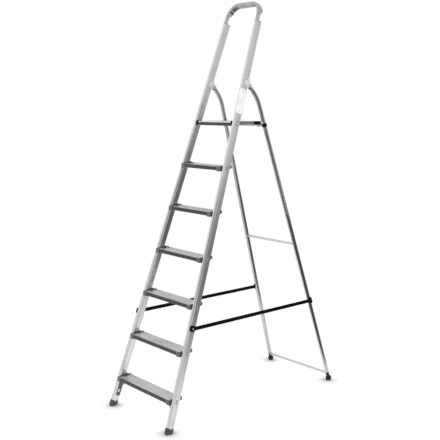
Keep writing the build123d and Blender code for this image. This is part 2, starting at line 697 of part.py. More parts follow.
def leg_solid(radius):
    """A solid bar along the right leg's route."""
    foot, start, middle, end, _ = leg_bend()
    route = Line(foot, start) + ThreePointArc(start, middle, end)
    section = Plane(origin=foot, z_dir=start - foot) * Circle(radius)
    return LEG.location * sweep(section, path=route)


def make_leg():
    """The right rear leg, with holes for the bars on its inner side."""
    leg = leg_solid(LEG_RADIUS) - leg_solid(LEG_RADIUS - LEG_WALL)
    for height in CROSSBAR_HEIGHTS.values():
        place = leg_point(height)
        leg -= cross_rod(CROSSBAR_RADIUS + BAR_CLEARANCE, (0, place.X), place.Y, place.Z)
    leg -= clip_stud(CLIP_STUD + CLIP_STUD_CLEARANCE, LEG_RADIUS / 2)
    return leg - cross_rod(REST_BAR_RADIUS + BAR_CLEARANCE, (0, REST_BAR.X), REST_BAR.Y, REST_BAR.Z)


def make_knuckle():
    """The plug in the right leg's upper end, turning on the pivot bolt."""
    *_, end, direction = leg_bend()
    rod = Plane(origin=end, z_dir=direction)
    neck = Cylinder(KNUCKLE_NECK, LEG_END_GAP + KNUCKLE_NECK_INSIDE)
    neck = Pos(0, 0, (LEG_END_GAP - KNUCKLE_NECK_INSIDE) / 2) * neck
    collar = Pos(0, 0, KNUCKLE_COLLAR / 2) * Cylinder(LEG_RADIUS, KNUCKLE_COLLAR)
    half = KNUCKLE_WIDTH / 2
    barrel = cross_rod(KNUCKLE_RADIUS, (PIVOT_X - half, PIVOT_X + half), PIVOT.Y, PIVOT.Z)
    knuckle = LEG.location * (rod.location * (neck + collar)) + barrel
    return knuckle - cross_rod(PIN_RUNNING, (0, FAR), PIVOT.Y, PIVOT.Z)


def leg_sleeve(radius, height, length):
    """A sleeve round the right leg's straight part, centred at a height."""
    sleeve = Cylinder(radius, length) - Cylinder(LEG_RADIUS + FERRULE_CLEARANCE, length)
    return LEG_AXIS.location * (Pos(0, 0, height / LEG_UP.Z) * sleeve)


def make_collar():
    """The right collar where the rest bar meets the leg."""
    collar = leg_sleeve(COLLAR_RADIUS, REST_BAR_HEIGHT, COLLAR_LENGTH)
    return collar - cross_rod(REST_BAR_RADIUS + BAR_CLEARANCE, (0, REST_BAR.X), REST_BAR.Y, REST_BAR.Z)


def make_bar(radius, height):
    """A round bar from leg to leg, its ends inside the tubes."""
    place = leg_point(height)
    half = place.X - BAR_SHORT_OF_AXIS
    return cross_rod(radius, (-half, half), place.Y, place.Z)


def make_ferrule():
    """The right rear foot: a ball, flat on the floor, with a stem in the tube's end."""
    outline = Pos(0, FERRULE_BALL_UP) * Circle(FERRULE_BALL)
    stem = LEG_RADIUS - LEG_WALL - FERRULE_CLEARANCE
    outline += rectangle((0, stem), (FERRULE_BALL_UP, FERRULE_TOP))
    outline = outline & rectangle((0, FAR), (-FAR, FAR))
    waist = [point for point in outline.vertices() if FERRULE_BALL_UP < point.Y < FERRULE_TOP - 1 and point.X > 1]
    outline = fillet(waist, FERRULE_ROUND)
    rim = [point for point in outline.vertices() if point.Y > FERRULE_TOP - 1 and point.X > 1]
    outline = chamfer(rim, FERRULE_EDGE)
    ferrule = revolve(Plane.XZ * outline, axis=Axis.Z)
    ferrule = split(LEG_AXIS.location * ferrule, bisect_by=Plane.XY, keep=Keep.TOP)
    place = leg_point(CROSSBAR_HEIGHTS["lower_crossbar"])
    return ferrule - cross_rod(CROSSBAR_RADIUS + BAR_CLEARANCE, (0, place.X), place.Y, place.Z)


def make_hinge_plate():
    """The right plate that carries a platform pin."""
    plate = polygon(*HINGE_PLATE_OUTLINE)
    plate = fillet(plate.vertices(), HINGE_PLATE_ROUND)
    piece = beside_stile(Pos(HINGE.Y, HINGE_HEIGHT) * plate, HINGE_PLATE)
    piece -= cross_rod(PIN_SEAT, (0, FAR), HINGE.Y, HINGE_HEIGHT)
    for up in hinge_rivet_places():
        piece -= rivet_hole(up, 0)
    return piece


def deck_half_width():
    """Half the deck's width at its hinge pins."""
    return HINGE.X - STILE_WIDTH / 2 / cos(frame_taper) - HINGE_PLATE - DECK_SIDE_GAP


def deck_block(grow, behind, skin=0.0):
    """A block with the deck's tapering outline, grown at its sides and lengthened to the rear."""
    front = -DECK_AHEAD - min(grow, 0)
    rear = DECK_LENGTH - DECK_AHEAD + behind
    half = deck_half_width() + grow
    widths = [(half - y * tan(frame_taper), HINGE.Y + y) for y in (front, rear)]
    outline = polygon(*widths, *[(-x, y) for x, y in reversed(widths)])
    low = DECK_TOP - DECK_THICKNESS
    return Pos(0, 0, low) * extrude(outline, amount=DECK_THICKNESS - skin)


def make_deck():
    """The platform: a grooved tray turned upside down, with bosses for its hinge pins."""
    deck = deck_block(0, 0) - deck_block(-DECK_SKIN, -DECK_SKIN, DECK_SKIN)
    half = deck_half_width()
    front = HINGE.Y - DECK_AHEAD
    low = DECK_TOP - DECK_THICKNESS
    deck += box((-half, half), (front, front + DECK_SKIN), (low - DECK_LIP, low))
    along = (half - DECK_BOSS_LENGTH, half - DECK_SKIN / 2)
    boss = cross_rod(DECK_BOSS, along, HINGE.Y, HINGE_HEIGHT)
    deck += [boss, mirrored(boss)]
    margin = (DECK_LENGTH - DECK_GROOVE_PITCH * (DECK_GROOVE_COUNT - 1)) / 2
    first = HINGE.Y - DECK_AHEAD + margin
    for groove in range(DECK_GROOVE_COUNT):
        middle = first + groove * DECK_GROOVE_PITCH
        deck -= Pos(0, middle, DECK_TOP) * Box(2 * FAR, DECK_GROOVE_WIDTH, 2 * DECK_GROOVE_DEPTH)
    hole = cross_rod(PIN_RUNNING, (half - FAR / 4, half + FAR / 4), HINGE.Y, HINGE_HEIGHT)
    return deck - [hole, mirrored(hole)]


def make_platform_nosing():
    """The dark strip on the platform's front."""
    half = deck_half_width() - PLATFORM_NOSING_SHORT
    place = Pos(HINGE.Y - DECK_AHEAD, DECK_TOP - DECK_LIP)
    return side_extrusion(place * nosing_profile(DECK_THICKNESS), half)


def make_platform_pin():
    """The right hinge pin, from the stile's inner face into the deck."""
    outer = deck_half_width() + DECK_SIDE_GAP + HINGE_PLATE - PIN_SHORT_OF_STILE
    return cross_rod(PIN_RADIUS, (outer - PIN_LENGTH, outer), HINGE.Y, HINGE_HEIGHT)


def make_hook():
    """The right hook: a cheek round the deck's rear corner and a saddle behind it over the rest bar."""
    deck_end = HINGE.Y + DECK_LENGTH - DECK_AHEAD
    grip = REST_BAR_RADIUS + HOOK_CLEARANCE
    top = DECK_TOP - HOOK_BELOW_TOP
    back = REST_BAR.Y + HOOK_BEHIND
    saddle = rectangle((deck_end, back), (REST_BAR_HEIGHT, top))
    saddle += rectangle((REST_BAR.Y + grip, back), (REST_BAR_HEIGHT - HOOK_BELOW, top))
    saddle -= rectangle((deck_end, REST_BAR.Y), (REST_BAR_HEIGHT, REST_BAR_HEIGHT + grip))
    saddle -= Pos(REST_BAR.Y, REST_BAR_HEIGHT) * Circle(grip)
    saddle = extrude(Plane.YZ.offset(HOOK_INNER) * saddle, amount=HOOK_OUTER - HOOK_INNER)
    cheek = deck_block(HOOK_CHEEK, HOOK_CHEEK) - deck_block(0, 0)
    floor = DECK_TOP - DECK_THICKNESS + HOOK_ABOVE_FLOOR
    corner = box((HOOK_INNER, FAR), (deck_end - HOOK_CHEEK_LENGTH, deck_end + FAR), (floor, top))
    return saddle + (cheek & corner)


def strap_ends():
    """The right strap's two ends on its middle line."""
    front = stile_point(STRAP_FRONT_HEIGHT)
    rear = leg_point(STRAP_REAR_HEIGHT)
    face = front.X + STILE_WIDTH / 2 / cos(frame_taper)
    start = Vector(face + STRAP_OFF_STILE, front.Y + STRAP_PAST_RIVET, STRAP_FRONT_HEIGHT)
    return start, Vector(rear.X + STRAP_OFF_LEG, rear.Y, STRAP_REAR_HEIGHT)


def strap_bar(clearance):
    """The right strap as a straight flat bar, grown by a clearance."""
    start, end = strap_ends()
    run = end - start
    section = Rectangle(STRAP_THICKNESS + 2 * clearance, STRAP_WIDTH + 2 * clearance)
    across = Vector(1, 0, 0) - run * (run.X / run.dot(run))
    return extrude(Plane(origin=start, x_dir=across, z_dir=run) * section, amount=run.length)


def make_anchor():
    """The right strap anchor: a rounded pad on the stile with a slot for the strap's end."""
    up = strap_rivet_place()
    pad = RectangleRounded(ANCHOR_LENGTH, ANCHOR_HEIGHT, ANCHOR_ROUND)
    pad = extrude(Plane.YZ.offset(STILE_WIDTH / 2) * pad, amount=ANCHOR_THICKNESS)
    pad = fillet(pad.edges().group_by(Axis.X)[-1], ANCHOR_EDGE)
    pad = on_stile(Pos(0, -ANCHOR_AHEAD, up) * pad)
    return pad - strap_bar(STRAP_CLEARANCE) - rivet_hole(up, 0)


def make_strap_rivet():
    """The rivet through the right strap anchor."""
    face = STILE_WIDTH / 2 + ANCHOR_THICKNESS
    return rivet(strap_rivet_place(), 0, face, -STILE_WIDTH / 2 + STILE_WALL)


def clip_stud(radius, inside):
    """A rod through the right leg's outer wall at the strap clip."""
    rod = Cylinder(radius, CLIP_OUTER / 2, rotation=(0, 90, 0))
    middle = LEG_RADIUS - LEG_WALL - inside + CLIP_OUTER / 4
    return LEG_AXIS.location * (Pos(middle, 0, STRAP_REAR_HEIGHT / LEG_UP.Z) * rod)


def make_clip():
    """The right strap clip: a slotted pad on the leg's outer side, with a stud through its wall."""
    pad = RectangleRounded(CLIP_WIDTH, CLIP_HEIGHT, CLIP_ROUND)
    pad = extrude(Plane.YZ.offset(CLIP_INNER) * pad, amount=CLIP_OUTER - CLIP_INNER)
    pad = fillet(pad.edges().group_by(Axis.X)[-1], CLIP_EDGE)
    pad = Pos(0, 0, STRAP_REAR_HEIGHT / LEG_UP.Z) * pad
    pad -= Cylinder(LEG_RADIUS + FERRULE_CLEARANCE, 4 * FAR)
    clip = LEG_AXIS.location * pad + clip_stud(CLIP_STUD, CLIP_STUD_INSIDE)
    return clip - strap_bar(STRAP_CLEARANCE)


def pair(pieces, name, right):
    """Adds a right piece and its mirror image as two nodes."""
    pieces[name + "_right"] = right
    pieces[name + "_left"] = mirrored(right)


def group(solids):
    """Separate solids and their mirror images, as one node."""
    return Compound(children=[solid for right in solids for solid in (right, mirrored(right))])


def make_pieces():
    """Every piece of the stepladder by name."""
    pieces = {}
    pair(pieces, "stile", make_stile())
    for number in range(1, TREAD_COUNT + 1):
        pieces[f"tread_{number}"] = make_tread(number)
        pieces[f"tread_nosing_{number}"] = make_nosing(number)
        pair(pieces, f"tread_bracket_{number}", make_bracket(number))
    pieces["tread_rivets"] = group(make_tread_rivets())
    pair(pieces, "front_foot", make_boot())
    pieces["grip_bow"] = make_bow()
    pieces["bow_screws"] = group(make_bow_screws())
    pair(pieces, "pivot_bracket", make_pivot_bracket())
    pieces["bracket_rivets"] = group(make_saddle_rivets())
    pieces["pivot_bolts"] = group([make_pivot_bolt()])
    pieces["pivot_nuts"] = group([make_pivot_nut()])
    pair(pieces, "hinge_plate", make_hinge_plate())
    pieces["platform_pins"] = group([make_platform_pin()])
    pair(pieces, "rear_leg", make_leg())
    pair(pieces, "leg_knuckle", make_knuckle())
    pair(pieces, "rear_foot", make_ferrule())
    pieces["rest_bar"] = make_bar(REST_BAR_RADIUS, REST_BAR_HEIGHT)
    pieces["rest_bar_collars"] = group([make_collar()])
    for name, height in CROSSBAR_HEIGHTS.items():
        pieces[name] = make_bar(CROSSBAR_RADIUS, height)
    pieces["platform_deck"] = make_deck()
    pieces["platform_nosing"] = make_platform_nosing()
    pair(pieces, "platform_hook", make_hook())
    pair(pieces, "strap", strap_bar(0))
    pair(pieces, "strap_anchor", make_anchor())
    pieces["strap_rivets"] = group([make_strap_rivet()])
    pair(pieces, "strap_clip", make_clip())
    return pieces


if __name__ == "__main__":
    os.makedirs("parts", exist_ok=True)
    for name, piece in make_pieces().items():
        export_step(piece, f"parts/{name}.step")
    start, end = strap_ends()
    print("pivot", tuple(round(v, 2) for v in (PIVOT_X, PIVOT.Y, PIVOT.Z)))
    print("platform hinge", tuple(round(v, 2) for v in HINGE))
    print("strap from", tuple(round(v, 2) for v in start), "to", tuple(round(v, 2) for v in end))
    print("strap length", round((end - start).length, 1))
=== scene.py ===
"""Dresses a folding platform stepladder and sets it in a white studio."""
import json
import logging
from dataclasses import dataclass
from enum import Enum
from math import atan, cos, pi, radians, sin, tan
from typing import Any, Sequence, Union

import bmesh
import bpy
import numpy as np
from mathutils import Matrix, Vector


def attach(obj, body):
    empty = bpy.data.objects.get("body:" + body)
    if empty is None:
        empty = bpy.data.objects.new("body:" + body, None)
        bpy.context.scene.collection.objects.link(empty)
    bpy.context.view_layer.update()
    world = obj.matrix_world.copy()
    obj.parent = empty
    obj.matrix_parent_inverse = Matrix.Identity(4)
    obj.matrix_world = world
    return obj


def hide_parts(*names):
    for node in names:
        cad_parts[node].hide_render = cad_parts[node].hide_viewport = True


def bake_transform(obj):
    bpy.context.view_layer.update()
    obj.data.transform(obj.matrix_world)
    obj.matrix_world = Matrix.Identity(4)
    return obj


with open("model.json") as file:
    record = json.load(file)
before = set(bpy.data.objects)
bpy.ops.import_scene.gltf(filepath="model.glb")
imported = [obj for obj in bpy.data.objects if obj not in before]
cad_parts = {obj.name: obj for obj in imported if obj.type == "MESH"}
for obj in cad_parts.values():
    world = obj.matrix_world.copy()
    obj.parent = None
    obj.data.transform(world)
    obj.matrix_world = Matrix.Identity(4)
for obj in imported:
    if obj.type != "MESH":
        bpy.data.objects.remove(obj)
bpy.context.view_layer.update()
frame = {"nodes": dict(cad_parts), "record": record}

LOG = logging.getLogger("stepladder")
MM = 0.001
SAME_POINT = 1e-7
SHARP_EDGE = radians(40)

Pair = tuple[float, float]
Triple = tuple[float, float, float]
Socket = bpy.types.NodeSocket
Feed = Union[Socket, float, tuple[float, ...]]  # what an input takes: a link or a value

ACROSS: Triple = (1.0, 0.0, 0.0)
BACK: Triple = (0.0, 1.0, 0.0)
UP: Triple = (0.0, 0.0, 1.0)


class Side(Enum):
    """The two sides of the ladder, as signs along X."""

    LEFT = -1
    RIGHT = 1

    @property
    def word(self) -> str:
        """The side as the pieces' names end."""
        return self.name.lower()

    @property
    def mirror(self) -> Triple:
        """Factors that take a point of the right side to this side."""
        return (self.value, 1.0, 1.0)


class Body(Enum):
    """The bodies that new pieces ride on."""

    FRONT = "front_frame"
    REAR = "rear_frame"
    PLATFORM = "platform"


class Slot(Enum):
    """The record's material slots."""

    STILE = "stile"
    TREAD = "tread"
    DECK = "deck"
    LEG = "leg"
    BAR = "bar"
    RIVET = "rivet"
    STEEL = "steel"
    SADDLE = "saddle"
    NOSING = "nosing"
    BRACKET = "bracket"
    BOW = "bow"
    KNUCKLE = "knuckle"
    FOOT = "foot"
    STRAP = "strap"


@dataclass(frozen=True)
class StileAxes:
    """Directions along one stile: out across it, back to the rear and up its length."""

    side: Side
    half_width: float = 0.2478
    foot_y: float = -0.58582
    lean: float = radians(19.03)
    taper: float = radians(3.53)

    def directions(self) -> np.ndarray:
        """Works out the stile's own directions.

        The rise is Z, leaned back by the lean. Out and up are X and the rise, both turned in their
        plane by the narrowing, whose tangent is the taper's tangent times the lean's cosine. Back
        is square to both.

        Returns:
            The out, back and up directions as rows of a matrix.
        """
        narrowing = atan(tan(self.taper) * cos(self.lean))
        across = np.array(ACROSS)
        rise = np.array([0.0, sin(self.lean), cos(self.lean)])
        out = across * cos(narrowing) + rise * sin(narrowing)
        up = rise * cos(narrowing) - across * sin(narrowing)
        return np.stack([out, np.cross(up, out), up]) * self.side.mirror

    def place(self, local: np.ndarray) -> np.ndarray:
        """Places points given as out, back and up from the foot of the stile's axis.

        Args:
            local: Points in the stile's own directions, in metres.

        Returns:
            The points in the ladder's frame: the foot plus each distance along its direction.
        """
        foot = np.array([self.side.value * self.half_width, self.foot_y, 0.0])
        return foot + local @ self.directions()

    def up_at(self, height: float) -> float:
        """Distance up the stile at which its axis reaches a height."""
        return height / self.directions()[2][2]


@dataclass(frozen=True)
class LegAxis:
    """The straight run of one rear leg."""

    side: Side
    lean: float = radians(17.1)
    taper: float = radians(3.35)

    def up(self) -> Triple:
        """Works out the direction up the leg, which leans forward by the slope and in by the taper.

        Returns:
            The direction, of length one.
        """
        slope = atan(tan(self.lean) * cos(self.taper))
        across = -sin(self.taper) * cos(slope) * self.side.value
        return (across, -sin(slope), cos(self.taper) * cos(slope))


def around(points: int) -> np.ndarray:
    """Angles of points spaced evenly round a circle."""
    return np.linspace(0.0, 2 * pi, points, endpoint=False)


def flat_oval(wide: float, deep: float, points: int) -> tuple[np.ndarray, np.ndarray]:
    """Works out a flattened oval, |x / wide|^6 + |y / deep|^2 = 1, in even steps of angle.

    Args:
        wide: Half its width.
        deep: Half its depth.
        points: How many points it has.

    Returns:
        The points' distances across the width and through the depth.
    """
    cosine, sine = np.cos(around(points)), np.sin(around(points))
    return np.sign(cosine) * np.abs(cosine) ** (1 / 3) * wide, sine * deep


def skin(name: str, grids: Sequence[np.ndarray], wrapped: bool = True) -> bpy.types.Object:
    """Makes one mesh from grids of points, each a surface over two parameters.

    Each cell between two rows and two columns becomes a face. Rows that shrink to a point close
    into a fan, because points that coincide are merged.

    Args:
        name: The piece's name.
        grids: Arrays of shape (rows, columns, 3).
        wrapped: Whether the last column joins the first.

    Returns:
        The new object, at the origin.
    """
    points, faces, start = [], [], 0
    for grid in grids:
        rows, columns = grid.shape[:2]
        index = start + np.arange(rows * columns).reshape(rows, columns)
        ring = np.concatenate([index, index[:, :1]], axis=1) if wrapped else index
        cells = [ring[:-1, :-1], ring[:-1, 1:], ring[1:, 1:], ring[1:, :-1]]
        faces.append(np.stack(cells, axis=-1).reshape(-1, 4))
        points.append(grid.reshape(-1, 3))
        start += rows * columns
    mesh = bpy.data.meshes.new(name)
    mesh.from_pydata(np.concatenate(points), [], np.concatenate(faces).tolist())
    work = bmesh.new()
    work.from_mesh(mesh)
    bmesh.ops.remove_doubles(work, verts=work.verts, dist=SAME_POINT)
    bmesh.ops.recalc_face_normals(work, faces=work.faces)
    work.to_mesh(mesh)
    work.free()
    mesh.shade_smooth()
    mesh.set_sharp_from_angle(angle=SHARP_EDGE)
    piece = bpy.data.objects.new(name, mesh)
    bpy.context.scene.collection.objects.link(piece)
    return piece


class Graph:
    """A shader graph while it is being wired."""

    def __init__(self, tree: bpy.types.NodeTree) -> None:
        """Takes over a node tree and empties it."""
        self.tree = tree
        tree.nodes.clear()

    def add(
        self, kind: str, values: dict[str | int, Feed] | None = None, **settings: Any
    ) -> bpy.types.Node:
        """Adds a node.

        Args:
            kind: The node's type, without ShaderNode where its type starts so.
            values: Input values by socket name or number. A socket as a value is linked.
            settings: Settings of the node itself.

        Returns:
            The new node.
        """
        node = self.tree.nodes.new(kind if kind.startswith("NodeGroup") else "ShaderNode" + kind)
        for key, value in settings.items():
            setattr(node, key, value)
        for key, value in (values or {}).items():
            self.feed(node.inputs[key], value)
        return node

    def feed(self, socket: Socket, value: Feed) -> None:
        """Links a socket to an input, or sets the input's value.

        Args:
            socket: The input.
            value: The socket that feeds it, or its value.
        """
        if isinstance(value, Socket):
            self.tree.links.new(value, socket)
        else:
            socket.default_value = value

    def place(self) -> Socket:
        """The object coordinates of the surface."""
        return self.add("TexCoord").outputs["Object"]

    def height(self) -> Socket:
        """The height of the surface."""
        return self.add("SeparateXYZ", {0: self.place()}).outputs["Z"]

    def math(self, operation: str, first: Feed, second: Feed = 0.0) -> Socket:
        """One arithmetic step on values or sockets."""
        return self.add("Math", {0: first, 1: second}, operation=operation).outputs[0]

    def measure(self, operation: str, first: Feed, second: Feed) -> Socket:
        """A value from two vectors, such as their distance."""
        return self.add("VectorMath", {0: first, 1: second}, operation=operation).outputs["Value"]

    def ramp(
        self, value: Feed, low: Feed, high: Feed, start: Feed = 0.0, end: Feed = 1.0
    ) -> Socket:
        """Maps a value from low..high to start..end, clamped and smoothed."""
        values = {"Value": value, "From Min": low, "From Max": high, "To Min": start, "To Max": end}
        return self.add("MapRange", values, interpolation_type="SMOOTHSTEP").outputs[0]

    def noise(self, vector: Feed, scale: Feed, detail: float) -> Socket:
        """Cloudy noise between 0 and 1."""
        return self.add("TexNoise", {"Vector": vector, "Scale": scale, "Detail": detail}).outputs[0]

    def stretch(self, vector: Feed, factors: Triple) -> Socket:
        """A vector with its parts multiplied."""
        return self.add("VectorMath", {0: vector, 1: factors}, operation="MULTIPLY").outputs[0]

    def mix(self, share: Feed, first: Feed, second: Feed) -> Socket:
        """A colour between two, by the second one's share."""
        return self.add("Mix", {0: share, 6: first, 7: second}, data_type="RGBA").outputs[2]

    def output(self, shader: bpy.types.Node) -> None:
        """Ends a material with its shader."""
        self.add("OutputMaterial", {"Surface": shader.outputs[0]})


def new_material(name: str) -> tuple[bpy.types.Material, Graph]:
    """Makes an empty material.

    Args:
        name: The material's name.

    Returns:
        The material and its graph.
    """
    material = bpy.data.materials.new(name)
    material.use_nodes = True
    return material, Graph(material.node_tree)


def grey(level: float) -> tuple[float, float, float, float]:
    """A neutral colour of one level."""
    return (level, level, level, 1.0)


# Factors on the place, which set the size of a noise in each direction.
FINE_LINES: Triple = (1.0, 1.0, 0.004)
BROAD_LINES: Triple = (0.2, 0.2, 0.004)
SLOW_CLOUDS: Triple = (0.03, 0.03, 0.03)
FINE_BREAKS: Triple = (9.0, 9.0, 9.0)
FUZZ = 0.4


class Effect(Enum):
    """Surface effects that several finishes share, each one node group with a height and a mask."""

    DRAWN_LINES = "drawn_lines"
    GRAIN = "moulded_grain"
    SCUFFS = "scuffs"
    WEAVE = "webbing_weave"

    def group(self) -> bpy.types.NodeTree:
        """Gives the effect's node group, which is built when it is first asked for.

        Returns:
            The group, from a vector and a scale to a height and a mask.
        """
        found = bpy.data.node_groups.get(self.value)
        if found:
            return found
        tree = bpy.data.node_groups.new(self.value, "ShaderNodeTree")
        tree.interface.new_socket("Vector", in_out="INPUT", socket_type="NodeSocketVector")
        for name, way in (("Scale", "INPUT"), ("Height", "OUTPUT"), ("Mask", "OUTPUT")):
            tree.interface.new_socket(name, in_out=way, socket_type="NodeSocketFloat")
        graph = Graph(tree)
        given = graph.add("NodeGroupInput").outputs
        makers = {
            Effect.DRAWN_LINES: self.lines,
            Effect.GRAIN: self.grain,
            Effect.SCUFFS: self.scuffs,
            Effect.WEAVE: self.weave,
        }
        height, mask = makers[self](graph, given["Vector"], given["Scale"])
        graph.add("NodeGroupOutput", {"Height": height, "Mask": mask})
        return tree

    @staticmethod
    def lines(graph: Graph, vector: Socket, scale: Socket) -> tuple[Socket, Socket]:
        """Fine lines left by the die along Z: noise stretched many times along the length.

        Args:
            graph: The group's graph.
            vector: The place on the surface.
            scale: How many lines there are in a metre, roughly.

        Returns:
            The fine lines as the height, and broader bands as the mask.
        """
        fine = graph.noise(graph.stretch(vector, FINE_LINES), scale, detail=4.0)
        broad = graph.noise(graph.stretch(vector, BROAD_LINES), scale, detail=2.0)
        return fine, graph.ramp(broad, 0.3, 0.7)

    @staticmethod
    def grain(graph: Graph, vector: Socket, scale: Socket) -> tuple[Socket, Socket]:
        """The etched grain of a mould: fine noise, with slow changes of tone as the mask."""
        slow = graph.noise(graph.stretch(vector, SLOW_CLOUDS), scale, detail=2.0)
        return graph.noise(vector, scale, detail=2.0), graph.ramp(slow, 0.35, 0.65)

    @staticmethod
    def scuffs(graph: Graph, vector: Socket, scale: Socket) -> tuple[Socket, Socket]:
        """Marks of use: patches of noise, broken up by a finer noise.

        Args:
            graph: The group's graph.
            vector: The place on the surface.
            scale: How many patches there are in a metre, roughly.

        Returns:
            The finer noise as the height, and the broken patches as the mask.
        """
        patches = graph.ramp(graph.noise(vector, scale, detail=5.0), 0.5, 0.68)
        broken = graph.noise(graph.stretch(vector, FINE_BREAKS), scale, detail=3.0)
        return broken, graph.math("MULTIPLY", patches, broken)

    @staticmethod
    def weave(graph: Graph, vector: Socket, scale: Socket) -> tuple[Socket, Socket]:
        """A herringbone of threads: a wave along the strap that slants away from its middle.

        Args:
            graph: The group's graph.
            vector: The place on the strap, across it and along it.
            scale: The wave's angle in a metre.

        Returns:
            The wave as the height, and the wave with fuzz as the mask.
        """
        parts = graph.add("SeparateXYZ", {0: vector}).outputs
        slant = graph.math("ABSOLUTE", parts[0])
        phase = graph.math("MULTIPLY", graph.math("ADD", parts[1], slant), scale)
        wave = graph.ramp(graph.math("SINE", phase), -1.0, 1.0)
        fuzz = graph.noise(vector, graph.math("MULTIPLY", scale, FUZZ), detail=2.0)
        return wave, graph.math("MULTIPLY", wave, fuzz)


@dataclass(frozen=True)
class Finish:
    """What every finish has: a name, a tone and a roughness."""

    name: str
    tone: float
    roughness: float

    def begin(self, along: Triple) -> tuple[bpy.types.Material, Graph, Socket]:
        """Starts a material on object coordinates, turned so that Z runs along the piece.

        Args:
            along: The direction of the piece's length.

        Returns:
            The material, its graph and the turned coordinates.
        """
        material, graph = new_material(self.name)
        turn = Vector(along).rotation_difference(Vector(UP)).to_euler()
        vector = graph.add("Mapping", {"Vector": graph.place(), "Rotation": turn}).outputs[0]
        return material, graph, vector

    @staticmethod
    def effect(graph: Graph, effect: Effect, vector: Socket, scale: float) -> tuple[Socket, Socket]:
        """Places an effect's group in a material.

        Args:
            graph: The material's graph.
            effect: The effect.
            vector: The place on the surface.
            scale: The effect's scale.

        Returns:
            The effect's height and mask.
        """
        node = graph.add("Group", node_tree=effect.group())
        graph.feed(node.inputs["Vector"], vector)
        graph.feed(node.inputs["Scale"], scale)
        return node.outputs["Height"], node.outputs["Mask"]

    @staticmethod
    def surface(graph: Graph, values: dict[str, Feed], height: Socket, depth: float) -> None:
        """Ends a material with its shader.

        Args:
            graph: The material's graph.
            values: Inputs of the shader by name.
            height: The relief between 0 and 1.
            depth: The relief's depth in metres.
        """
        bump = graph.add("Bump", {"Height": height, "Distance": depth, "Strength": 1.0})
        graph.output(graph.add("BsdfPrincipled", {**values, "Normal": bump.outputs[0]}))


@dataclass(frozen=True)
class BareMetal(Finish):
    """Drawn or plated metal with lines along its length and dull patches from handling."""

    spread: float = 0.06
    line_scale: float = 700.0
    line_share: float = 0.6
    scuff_scale: float = 14.0
    worn_tone: float = 0.9  # times the tone
    most_worn: float = 1.2
    relief: float = 0.00002

    def make(self, along: Triple = ACROSS) -> bpy.types.Material:
        """Makes the metal with its lines in a direction.

        Args:
            along: The direction of the lines.

        Returns:
            The material.
        """
        material, graph, vector = self.begin(along)
        height, lines = self.effect(graph, Effect.DRAWN_LINES, vector, self.line_scale)
        _, dull = self.effect(graph, Effect.SCUFFS, vector, self.scuff_scale)
        worn = graph.math("ADD", graph.math("MULTIPLY", lines, self.line_share), dull)
        smooth, rough = self.roughness - self.spread, self.roughness + self.spread
        values = {
            "Base Color": graph.mix(worn, grey(self.tone), grey(self.tone * self.worn_tone)),
            "Metallic": 1.0,
            "Roughness": graph.ramp(worn, 0.0, self.most_worn, smooth, rough),
        }
        self.surface(graph, values, height, self.relief)
        return material


@dataclass(frozen=True)
class Moulded(Finish):
    """Moulded plastic or rubber with an etched grain and paler scuffs."""

    grain_scale: float = 900.0
    relief: float = 0.00006
    scuffed: float = 0.5
    gloss: float = 0.5
    spread: float = 0.05
    cloud_tones: Pair = (0.9, 1.1)  # times the tone
    scuff_scale: float = 30.0
    scuff_tone: Pair = (1.6, 0.03)  # times the tone, and added

    def make(self, along: Triple = UP) -> bpy.types.Material:
        """Makes the moulded surface.

        Args:
            along: The direction of the piece's length.

        Returns:
            The material.
        """
        material, graph, vector = self.begin(along)
        height, clouds = self.effect(graph, Effect.GRAIN, vector, self.grain_scale)
        _, marks = self.effect(graph, Effect.SCUFFS, vector, self.scuff_scale)
        base = graph.mix(clouds, *(grey(self.tone * tone) for tone in self.cloud_tones))
        pale = grey(min(1.0, self.tone * self.scuff_tone[0] + self.scuff_tone[1]))
        smooth, rough = self.roughness - self.spread, self.roughness + self.spread
        values = {
            "Base Color": graph.mix(graph.math("MULTIPLY", marks, self.scuffed), base, pale),
            "Roughness": graph.ramp(clouds, 0.0, 1.0, smooth, rough),
            "Specular IOR Level": self.gloss,
        }
        self.surface(graph, values, height, self.relief)
        return material


@dataclass(frozen=True)
class Webbing(Finish):
    """Woven strap: herringbone threads on the strap's own map."""

    pitch: float = 2.2 * MM
    relief: float = 0.0003
    gloss: float = 0.05
    thread_tones: Pair = (0.6, 1.8)  # times the tone

    def make(self, uv_map: str) -> bpy.types.Material:
        """Makes the woven surface.

        Args:
            uv_map: The name of the strap's map.

        Returns:
            The material.
        """
        material, graph = new_material(self.name)
        vector = graph.add("UVMap", uv_map=uv_map).outputs[0]
        height, threads = self.effect(graph, Effect.WEAVE, vector, 2 * pi / self.pitch)
        values = {
            "Base Color": graph.mix(threads, *(grey(self.tone * tone) for tone in self.thread_tones)),
            "Roughness": self.roughness,
            "Specular IOR Level": self.gloss,
        }
        self.surface(graph, values, height, self.relief)
        return material


